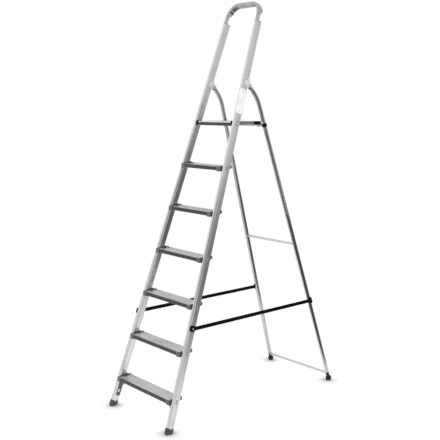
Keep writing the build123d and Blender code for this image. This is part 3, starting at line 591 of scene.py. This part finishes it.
FINISHES: dict[Slot, BareMetal | Moulded] = {
    Slot.STILE: BareMetal("stile_metal", 0.62, 0.22),
    Slot.TREAD: BareMetal("tread_metal", 0.66, 0.30, spread=0.08),
    Slot.DECK: BareMetal("deck_metal", 0.66, 0.34),
    Slot.LEG: BareMetal("leg_metal", 0.48, 0.20),
    Slot.BAR: BareMetal("bar_metal", 0.56, 0.30),
    Slot.RIVET: BareMetal("rivet_metal", 0.5, 0.3, line_scale=1500.0),
    Slot.STEEL: BareMetal("plated_steel", 0.62, 0.28, line_scale=1200.0),
    Slot.SADDLE: BareMetal("saddle_metal", 0.86, 0.4),
    Slot.NOSING: Moulded("nosing_plastic", 0.03, 0.45, gloss=0.36),
    Slot.BRACKET: Moulded("bracket_plastic", 0.1, 0.5),
    Slot.BOW: Moulded("bow_plastic", 0.37, 0.42),
    Slot.KNUCKLE: Moulded("knuckle_plastic", 0.006, 0.55, scuffed=0.2, gloss=0.12),
    Slot.FOOT: Moulded(
        "foot_rubber", 0.025, 0.7, grain_scale=600.0, relief=0.0001, scuffed=0.8, gloss=0.2
    ),
}
BOOT_PLASTIC = Moulded(
    "boot_plastic", 0.07, 0.6, grain_scale=600.0, relief=0.0001, scuffed=0.8, gloss=0.3
)
TRIM_PLASTIC = Moulded("trim_plastic", 0.16, 0.5)
PLATE_FILM = Moulded("plate_film", 0.93, 0.35, scuffed=0.1, relief=0.00001)
STRAP_WEBBING = Webbing("strap_webbing", 0.006, 0.8)


def finish_piece(
    piece: bpy.types.Object, material: bpy.types.Material, body: Body
) -> None:
    """Gives a new piece its material and its body.

    Args:
        piece: The new piece.
        material: Its material.
        body: The body that it rides on.
    """
    piece.data.materials.append(material)
    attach(piece, body.value)
    LOG.info("%s: %d faces on %s", piece.name, len(piece.data.polygons), body.value)


@dataclass(frozen=True)
class Studio:
    """The white floor, the soft light, the dim glowing room that metal mirrors as painted reflections, a
    dark sheet of painted shade on the legs, and the camera.
    """

    eye: Triple = (3.1576, -2.74503, 1.5859)
    look: Triple = (-0.75154, 0.64364, -0.14464)
    lens: float = 63.71
    sensor: float = 36.0
    sheet_points: int = 64

    # The floor is white, with paper round the feet that takes their shadows; painted shade from
    # occlusion darkens the paper's colour there.
    floor_reach: float = 80.0
    floor_rows: int = 9
    floor_drop: float = 1.0 * MM
    painted_shade_tones: Pair = (0.3, 0.99)
    painted_shade_reach: float = 0.07
    painted_reflection_glow: float = 0.25
    feet: Triple = (0.245, 0.587, 0.0)
    shadow_reach: Pair = (0.03, 0.075)

    ambient: float = 0.8
    key_strength: float = 0.7
    key_spread: float = radians(150)
    key_aim: Triple = (0.2, 0.25, -1.0)

    # The room is a ring round the white floor and a wall, glowing only in reflections as painted
    # reflections. It is dim low down and pale high up.
    floor_middle: Triple = (-0.19, 0.16, 0.0)
    floor_white: Pair = (0.45, 2.5)
    room_hole: float = 0.2
    room_reach: float = 3.0
    room_drop: float = 0.5 * MM
    room_top: float = 4.5
    room_rows: int = 12
    room_light: Pair = (0.4, 1.8)
    low_tones: Pair = (0.2, 1.05)
    low_side: Triple = (0.1, -0.99, 0.0)
    low_fade: Pair = (-2.0, 2.2)
    high_tones: Pair = (0.88, 1.25)
    pale_reflection_side: Triple = (-0.75, -0.65, 0.0)

    # One side of the wall is dimmer, up to a slanting edge: a darker painted reflection.
    dim_side: Triple = (0.75, -0.66, 0.0)
    dim_fade: Pair = (1.0, 2.6)
    dim_share: float = 0.45
    dim_edge: Pair = (1.4, 1.75)
    dim_slant: Triple = (0.0, 0.37, 1.0)

    # Each row of the dark sheet that paints shade into the legs' reflections is two points.
    flag_rows: tuple[tuple[float, ...], ...] = (
        (0.119, -0.10, 0.0, 0.62, 0.85, 0.0),
        (0.119, -0.10, 0.95, 0.62, 0.85, 0.95),
        (0.175, 0.006, 0.96, 0.29, 0.224, 0.96),
        (0.175, 0.006, 1.45, 0.26, 0.167, 1.45),
        (0.185, 0.025, 1.66, 0.25, 0.13, 1.66),
    )
    flag_fade: Pair = (0.6, 1.6)
    leg_shade_tones: Pair = (0.12, 0.22)

    def build(self) -> None:
        """Sets the whole stage."""
        self.camera()
        self.world()
        self.floor()
        self.painted_reflections()
        self.painted_leg_shade()
        self.key_light()
        bpy.context.scene.view_settings.view_transform = "Standard"

    def camera(self) -> None:
        """Places the camera at the photograph's eye point."""
        data = bpy.data.cameras.new("camera")
        data.lens = self.lens
        data.sensor_width = self.sensor
        camera = bpy.data.objects.new("camera", data)
        camera.location = self.eye
        camera.rotation_euler = Vector(self.look).to_track_quat("-Z", "Y").to_euler()
        bpy.context.scene.collection.objects.link(camera)
        bpy.context.scene.camera = camera

    @staticmethod
    def seen(graph: Graph) -> Socket:
        """Tells the rays that show the background itself from those that only light the ladder.

        Args:
            graph: The graph of the background's material.

        Returns:
            One for rays from the camera, in gloss or through glass, and nothing for others.
        """
        path = graph.add("LightPath").outputs
        either = graph.math("MAXIMUM", path["Is Camera Ray"], path["Is Glossy Ray"])
        return graph.math("MAXIMUM", either, path["Is Transmission Ray"])

    def world(self) -> None:
        """A white background that lights the scene only softly."""
        world = bpy.data.worlds.new("studio")
        bpy.context.scene.world = world
        world.use_nodes = True
        graph = Graph(world.node_tree)
        colour = graph.mix(self.seen(graph), grey(self.ambient), grey(1.0))
        background = graph.add("Background", {"Color": colour})
        graph.add("OutputWorld", {"Surface": background.outputs[0]})

    def disc(self, name: str, radius: np.ndarray, height: np.ndarray) -> bpy.types.Object:
        """Makes a round sheet: a profile turned about the middle of the ladder.

        Args:
            name: The sheet's name.
            radius: Distances of the profile's points from the middle.
            height: Their heights.

        Returns:
            The sheet.
        """
        turn = around(self.sheet_points)
        flat = radius[:, None] * np.stack([np.cos(turn), np.sin(turn)])[:, None]
        rise = np.broadcast_to(height[:, None], flat.shape[1:])
        return skin(name, [np.stack([*flat, rise], axis=-1)])

    @staticmethod
    def stage(sheet: bpy.types.Object, only_mirrored: bool) -> Graph:
        """Gives a sheet of the stage a material of its own, hidden from all but reflections where asked.

        Args:
            sheet: The sheet.
            only_mirrored: Whether it is hidden from everything but reflections.

        Returns:
            The material's graph.
        """
        material, graph = new_material(sheet.name)
        sheet.data.materials.append(material)
        if only_mirrored:
            sheet.visible_camera = False
            sheet.visible_diffuse = False
            sheet.visible_shadow = False
        LOG.info("%s: stage", sheet.name)
        return graph

    def floor(self) -> None:
        """A pale floor that reads white and keeps the shadows at the feet, with painted shade from
        occlusion in the paper's colour.
        """
        radius = np.linspace(0.0, self.floor_reach, self.floor_rows)
        sheet = self.disc("floor", radius, np.full_like(radius, -self.floor_drop))
        graph = self.stage(sheet, only_mirrored=False)
        # Painted shade: occlusion near the feet darkens the paper's colour.
        clear = graph.add("AmbientOcclusion", {"Distance": self.painted_shade_reach}).outputs["AO"]
        paper = graph.add("BsdfDiffuse", {"Color": graph.mix(clear, *map(grey, self.painted_shade_tones))})
        # Painted reflection: the floor glows brighter in metal than it shows to the camera.
        glossy = graph.add("LightPath").outputs["Is Glossy Ray"]
        glow = graph.math("ADD", graph.math("MULTIPLY", glossy, self.painted_reflection_glow), 1.0)
        white = graph.add("Emission", {"Strength": glow})
        quarter = graph.add("VectorMath", {0: graph.place()}, operation="ABSOLUTE").outputs[0]
        apart = graph.measure("DISTANCE", quarter, self.feet)
        open_floor = graph.ramp(apart, *self.shadow_reach)
        share = graph.math("MULTIPLY", self.seen(graph), open_floor)
        graph.output(graph.add("MixShader", {0: share, 1: paper.outputs[0], 2: white.outputs[0]}))

    def painted_reflections(self) -> None:
        """The room round the white floor, seen only in polished metal as painted reflections: a glowing
        sheet, dim low down, pale high up.
        """
        ring = np.linspace(self.room_hole, self.room_reach, self.room_rows)
        rise = np.linspace(-self.room_drop, self.room_top, self.room_rows)
        radius = np.r_[ring, np.full(self.room_rows, self.room_reach)]
        height = np.r_[np.full(self.room_rows, -self.room_drop), rise]
        graph = self.stage(self.disc("room", radius, height), only_mirrored=True)
        place = graph.place()
        reach = graph.measure("DISTANCE", graph.stretch(place, (1.0, 1.0, 0.0)), self.floor_middle)
        ahead, facing, behind, edge = (
            graph.measure("DOT_PRODUCT", place, side)
            for side in (self.low_side, self.pale_reflection_side, self.dim_side, self.dim_slant)
        )
        low = graph.ramp(ahead, *self.low_fade, *self.low_tones)
        darkest = graph.ramp(edge, *self.dim_edge, self.dim_share, 1.0)
        dim = graph.ramp(behind, *self.dim_fade, 1.0, darkest)
        pale = graph.ramp(facing, 0.0, self.room_reach, *self.high_tones)
        high = graph.math("MULTIPLY", pale, dim)
        tone = graph.ramp(graph.height(), *self.room_light, low, high)
        # Painted reflections: the wall's glow sets how bright the metal looks from each side and height.
        wall = graph.add("Emission", {"Strength": tone})
        clear = graph.add("BsdfTransparent")
        share = graph.ramp(reach, *self.floor_white)
        graph.output(graph.add("MixShader", {0: share, 1: clear.outputs[0], 2: wall.outputs[0]}))

    def painted_leg_shade(self) -> None:
        """A dark glowing sheet that only polished metal mirrors, painting shade into the rear legs'
        reflections: rows joined upwards.
        """
        sheet = skin("painted_leg_shade", [np.array(self.flag_rows).reshape(-1, 2, 3)], wrapped=False)
        graph = self.stage(sheet, only_mirrored=True)
        # Painted shade: the sheet's dim glow darkens what the rear legs reflect.
        tone = graph.ramp(graph.height(), *self.flag_fade, *self.leg_shade_tones)
        graph.output(graph.add("Emission", {"Strength": tone}))

    def key_light(self) -> None:
        """A broad even light from above the front."""
        data = bpy.data.lights.new("key", "SUN")
        data.energy = self.key_strength
        data.angle = self.key_spread
        lamp = bpy.data.objects.new("key", data)
        lamp.rotation_euler = Vector(self.key_aim).to_track_quat("-Z", "Y").to_euler()
        lamp.visible_glossy = False
        bpy.context.scene.collection.objects.link(lamp)


@dataclass(frozen=True)
class StayStrap:
    """One taut webbing strap between a stile and a rear leg."""

    side: Side
    start: Triple = (0.23151, -0.41078, 0.493)
    end: Triple = (0.22855, 0.43958, 0.498)
    near_ends: float = 0.09
    width: float = 20.0 * MM
    thickness: float = 2.0 * MM
    stations: int = 900
    round_points: int = 28
    rib_pitch: float = 2.6 * MM
    rib_depth: float = 0.12 * MM
    uv_map: str = "strap"

    def route(self) -> np.ndarray:
        """Gives the control points of the strap's line.

        Returns:
            Its two ends, and a point near each on the straight line between them.
        """
        start, end = np.array(self.start), np.array(self.end)
        step = (end - start) / np.linalg.norm(end - start) * self.near_ends
        return np.stack([start, start + step, end - step, end]) * self.side.mirror

    def line(self) -> np.ndarray:
        """Reads points along the strap's smooth line from a spline on its control points.

        Returns:
            The points, from the stile to the leg.
        """
        curve = bpy.data.curves.new("strap_route", "CURVE")
        curve.dimensions = "3D"
        curve.resolution_u = self.stations // 3
        spline = curve.splines.new("NURBS")
        route = self.route()
        spline.points.add(len(route) - 1)
        spline.points.foreach_set("co", np.c_[route, np.ones(len(route))].ravel())
        spline.order_u = 3
        spline.use_endpoint_u = True
        holder = bpy.data.objects.new("strap_route", curve)
        bpy.context.scene.collection.objects.link(holder)
        bpy.context.view_layer.update()
        mesh = bpy.data.meshes.new_from_object(holder)
        points = np.empty(len(mesh.vertices) * 3)
        mesh.vertices.foreach_get("co", points)
        bpy.data.objects.remove(holder)
        bpy.data.meshes.remove(mesh)
        return points.reshape(-1, 3)

    def build(self) -> None:
        """Carries a flattened oval along the line, with ribs across its faces.

        The faces swell and shrink along the length as a sine of the rib pitch, which runs ahead
        towards the edges by the distance from the middle.
        """
        line = self.line()
        length = np.r_[0.0, np.cumsum(np.linalg.norm(np.diff(line, axis=0), axis=1))]
        run = (line[-1] - line[0]) / np.linalg.norm(line[-1] - line[0])
        thick = np.cross(run, UP)
        thick /= np.linalg.norm(thick)
        wide = np.cross(thick, run)
        across, flat = flat_oval(self.width / 2, self.thickness / 2 - self.rib_depth, self.round_points)
        phase = 2 * pi * (length[:, None] + np.abs(across)) / self.rib_pitch
        faces = np.sign(flat) * (np.abs(flat) > self.thickness / 4)
        deep = flat + np.sin(phase) * self.rib_depth * faces
        grid = line[:, None] + deep[..., None] * thick + across[:, None] * wide
        ends = [np.broadcast_to(line[i], (1, self.round_points, 3)) for i in (0, -1)]
        piece = skin(f"webbing_{self.side.word}", [np.concatenate([ends[0], grid, ends[1]])])
        self.map_threads(piece, run, wide)
        self.dress(piece, line, float(length[-1]))

    def map_threads(self, piece: bpy.types.Object, run: np.ndarray, wide: np.ndarray) -> None:
        """Lays the strap's map: across it in u and along it in v, in metres.

        Args:
            piece: The strap.
            run: The direction of its length.
            wide: The direction of its width.
        """
        mesh = piece.data
        points = np.empty(len(mesh.vertices) * 3)
        mesh.vertices.foreach_get("co", points)
        points = points.reshape(-1, 3) - self.route()[0]
        corners = np.empty(len(mesh.loops), dtype=np.int32)
        mesh.loops.foreach_get("vertex_index", corners)
        layer = mesh.uv_layers.new(name=self.uv_map)
        flat = np.stack([points @ wide, points @ run], axis=1)
        layer.data.foreach_set("uv", flat[corners].ravel())

    def dress(self, piece: bpy.types.Object, line: np.ndarray, length: float) -> None:
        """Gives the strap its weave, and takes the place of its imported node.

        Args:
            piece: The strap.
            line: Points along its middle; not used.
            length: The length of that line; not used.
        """
        piece.data.materials.append(STRAP_WEBBING.make(self.uv_map))
        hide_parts(f"strap_{self.side.word}")
        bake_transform(piece)
        LOG.info("%s: %d faces across the fold", piece.name, len(piece.data.polygons))


@dataclass(frozen=True)
class RivetSet:
    """The rivets of one node on both stiles: domed heads outside, set tails inside."""

    node: str
    ups: tuple[float, ...]  # distances up the stile
    head_seat: float  # distances out from the stile's axis
    tail_seat: float
    head: float = 5.0 * MM
    dome: float = 2.0 * MM
    dome_start: float = 0.25
    dome_points: int = 7
    shank: float = 2.4 * MM
    tail: float = 3.5 * MM
    tail_rise: float = 1.4 * MM
    tail_edge: float = 0.4 * MM
    tail_flat: float = 0.6  # of the tail's radius
    dimple: float = 1.3 * MM
    dimple_depth: float = 0.7 * MM
    dimple_flat: float = 0.8  # of the dimple's radius
    segments: int = 28

    def profile(self) -> np.ndarray:
        """Draws half a rivet's section: the dimple, a quarter oval for the dome, the shank and the tail.

        Returns:
            Distances out from the stile's axis, and radii.
        """
        arc = np.linspace(self.dome_start, pi / 2, self.dome_points)
        dome = np.stack([self.head_seat + self.dome * np.cos(arc), self.head * np.sin(arc)], axis=1)
        rim = dome[0][0]
        pit = rim - self.dimple_depth
        dimple = [(pit, 0.0), (pit, self.dimple * self.dimple_flat), (rim, self.dimple)]
        seat = [(self.head_seat, self.shank), (self.tail_seat, self.shank)]
        low = self.tail_seat - self.tail_rise
        tail = [
            (self.tail_seat, self.tail),
            (low + self.tail_edge, self.tail),
            (low, self.tail * self.tail_flat),
            (low, 0.0),
        ]
        if self.tail_rise == 0.0:
            tail = [(self.tail_seat, 0.0)]
        return np.array([*dimple, *dome, *seat, *tail])

    def build(self) -> None:
        """Turns the profile about every rivet's axis, on both stiles."""
        turn = around(self.segments)
        profile = self.profile()
        out = np.broadcast_to(profile[:, :1], (len(profile), turn.size))
        back = profile[:, 1:] * np.cos(turn)
        rise = profile[:, 1:] * np.sin(turn)
        grids = [
            StileAxes(side).place(np.stack([out, back, rise + up], axis=-1))
            for side in Side for up in self.ups
        ]
        piece = skin(f"{self.node}_set", grids)
        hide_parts(self.node)
        finish_piece(piece, FINISHES[Slot.RIVET].make(), Body.FRONT)


@dataclass(frozen=True)
class BarePlate:
    """The blank film on the right stile's outer face and round its nose, below the pivot."""

    low: float = 1.548
    high: float = 1.672
    rear: float = 15.5 * MM  # behind the stile's axis
    seat: float = 12.0 * MM
    nose: float = 11.8 * MM
    nose_back: float = -8.2 * MM
    turn: float = radians(80)
    thickness: float = 0.3 * MM
    squareness: float = 9.0
    stations: int = 49
    points: int = 40

    def build(self) -> None:
        """Lays a thin film along the stile's section: a straight run, then an arc round the nose.

        Its height shrinks towards both ends of the run as (1 - |t|^n)^(1/n), which rounds its corners.
        """
        axes = StileAxes(Side.RIGHT)
        low, high = axes.up_at(self.low), axes.up_at(self.high)
        t = np.sin(np.linspace(-pi / 2, pi / 2, self.stations))
        flat = self.rear - self.nose_back
        run = (t + 1) / 2 * (flat + self.nose * self.turn)
        angle = np.maximum(run - flat, 0.0) / self.nose
        ahead = np.minimum(run, flat)
        normal = np.stack([np.cos(angle), -np.sin(angle)])
        out = self.seat - self.nose + self.nose * normal[0]
        back = self.rear - ahead + self.nose * normal[1]
        tall = (1 - np.abs(t) ** self.squareness) ** (1 / self.squareness) * (high - low) / 2
        rise = np.r_[np.linspace(-1.0, 1.0, self.points), np.linspace(1.0, -1.0, self.points)]
        lift = np.repeat([self.thickness, 0.0], self.points)
        section = np.stack([out, back])[..., None] + normal[..., None] * lift
        up = (low + high) / 2 + tall[:, None] * rise
        piece = skin("bare_plate", [axes.place(np.stack([*section, up], axis=-1))])
        finish_piece(piece, PLATE_FILM.make(), Body.FRONT)


@dataclass(frozen=True)
class SideTrim:
    """The dark strip along one side of the platform."""

    side: Side
    hinge_y: float = -0.06879
    half_width: float = 136.81 * MM  # of the deck at its hinge pins
    narrowing: float = radians(3.338)
    front: float = 19.0 * MM  # behind the hinge pins
    rear: float = 151.0 * MM
    middle: float = 1.499
    height: float = 16.5 * MM
    proud: float = 1.2 * MM
    stations: int = 40
    round_points: int = 24

    def build(self) -> None:
        """Carries a flattened oval along the deck's side, closed to a point at both ends."""
        back = np.linspace(self.front, self.rear, self.stations)
        swell = np.ones(self.stations)
        swell[[0, -1]] = 0.0
        back[[0, -1]] = back[[1, -2]]
        rise, out = flat_oval(self.height / 2, self.proud, self.round_points)
        side = self.half_width - back * tan(self.narrowing)
        grid = np.stack([
            side[:, None] + swell[:, None] * out,
            np.broadcast_to(self.hinge_y + back[:, None], (self.stations, self.round_points)),
            self.middle + swell[:, None] * rise,
        ], axis=-1)
        piece = skin(f"platform_trim_{self.side.word}", [grid * self.side.mirror])
        finish_piece(piece, TRIM_PLASTIC.make(BACK), Body.PLATFORM)


@dataclass(frozen=True)
class Ladder:
    """The ladder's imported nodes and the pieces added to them."""

    treads: int = 6
    first_tread: float = 0.1583
    tread_step: float = 0.22475
    tread_rivets: Pair = (-4.0 * MM, -15.0 * MM)  # from a tread's top
    tread_seats: Pair = (12.0 * MM, -16.0 * MM)  # of a rivet's head and tail
    hinge_height: float = 1.499
    hinge_rivets: Pair = (-8.8 * MM, 8.8 * MM)
    pivot_up: float = 1.8019
    saddle_rivets: Pair = (-9.0 * MM, 23.0 * MM)
    saddle_seats: Pair = (14.5 * MM, -14.5 * MM)
    strap_height: float = 0.493
    anchor_seats: Pair = (16.8 * MM, 9.2 * MM)

    def straps(self) -> None:
        """Both straps."""
        for side in Side:
            StayStrap(side).build()

    def fasteners(self) -> None:
        """Rivets at the treads and hinge plates, at the pivots and at the strap anchors."""
        axes = StileAxes(Side.RIGHT)
        tops = [self.first_tread + self.tread_step * step for step in range(self.treads)]
        treads = tuple(axes.up_at(top + rise) for top in tops for rise in self.tread_rivets)
        hinges = tuple(axes.up_at(self.hinge_height) + rise for rise in self.hinge_rivets)
        saddles = tuple(self.pivot_up + rise for rise in self.saddle_rivets)
        anchors = (axes.up_at(self.strap_height),)
        RivetSet("tread_rivets", treads + hinges, *self.tread_seats, tail_rise=0.0).build()
        RivetSet("bracket_rivets", saddles, *self.saddle_seats).build()
        RivetSet("strap_rivets", anchors, *self.anchor_seats).build()

    def trims(self) -> None:
        """The blank film on a stile and the strips on the platform's sides."""
        BarePlate().build()
        for side in Side:
            SideTrim(side).build()

    def dress(self) -> None:
        """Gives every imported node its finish, with the lines of metal along its length."""
        slots = {part["node"]: Slot(part["material_slot"]) for part in frame["record"]["subparts"]}
        made: dict[tuple[str, Triple], bpy.types.Material] = {}
        for name, node in frame["nodes"].items():
            finish = BOOT_PLASTIC if name.startswith("front_foot") else FINISHES.get(slots[name])
            if finish is None:
                continue
            along = self.length_of(name)
            key = (finish.name, along)
            if key not in made:
                made[key] = finish.make(along)
            node.data.materials.clear()
            node.data.materials.append(made[key])
            LOG.info("%s: %s", name, finish.name)

    @staticmethod
    def length_of(name: str) -> Triple:
        """Gives the direction of a node's length.

        Args:
            name: The node's name.

        Returns:
            Up the stile or the leg, or across the ladder for other nodes.
        """
        side = Side.LEFT if name.endswith("left") else Side.RIGHT
        if name.startswith("stile"):
            return tuple(StileAxes(side).directions()[2])
        if name.startswith("rear_leg"):
            return LegAxis(side).up()
        return ACROSS


def main() -> None:
    """Builds the stage, the straps and the fittings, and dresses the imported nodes."""
    logging.basicConfig(level=logging.INFO, format="%(name)s %(message)s")
    Studio().build()
    ladder = Ladder()
    ladder.straps()
    ladder.fasteners()
    ladder.trims()
    ladder.dress()


if __name__ == "__main__":
    main()
